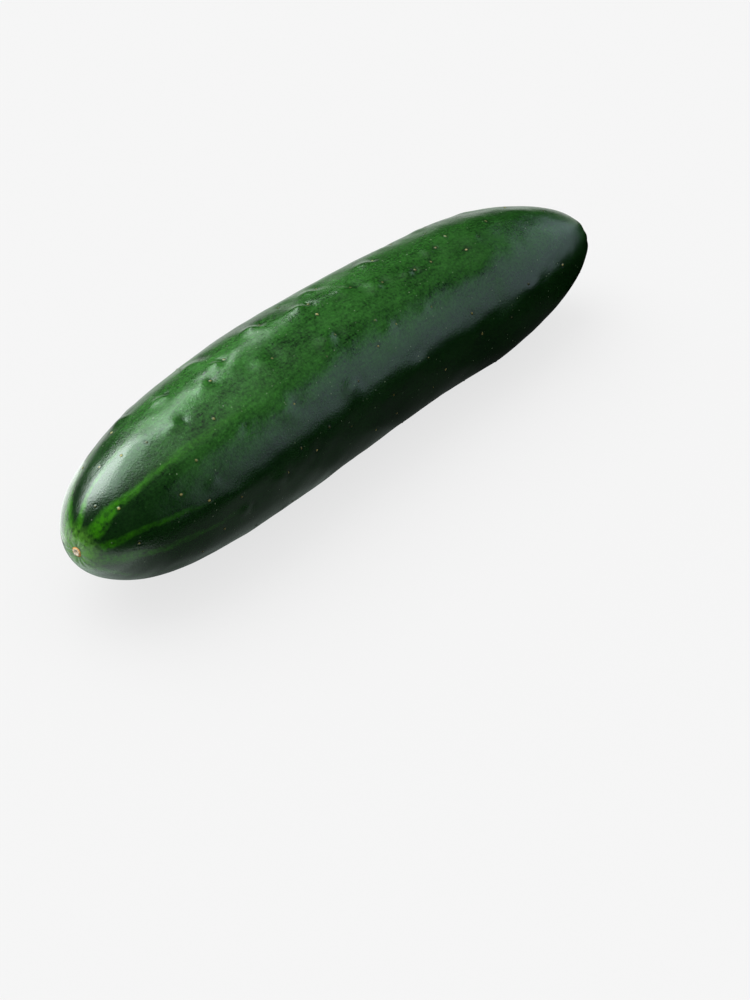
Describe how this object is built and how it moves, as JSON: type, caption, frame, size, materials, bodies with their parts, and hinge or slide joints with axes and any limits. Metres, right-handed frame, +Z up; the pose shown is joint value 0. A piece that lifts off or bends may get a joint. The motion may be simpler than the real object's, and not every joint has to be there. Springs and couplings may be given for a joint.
{
  "type": "cucumber",
  "caption": "Whole slicing cucumber lying on its side: dark green, gently bowed, with low warts, pale stripes that fade from the blossom scar, and a corky stem scar.",
  "frame": {"origin": "on the surface the cucumber lies on, under the middle of its box", "axes": "+X along the cucumber towards the stem end, +Y towards the side it bows out to, +Z up"},
  "size_m": [0.2218, 0.052, 0.0513],
  "materials": {
    "skin": "waxy dark green rind with paler stripes from the blossom end and small tan spine scars"
  },
  "bodies": {
    "root": {"cucumber": "skin"}
  },
  "joints": []
}
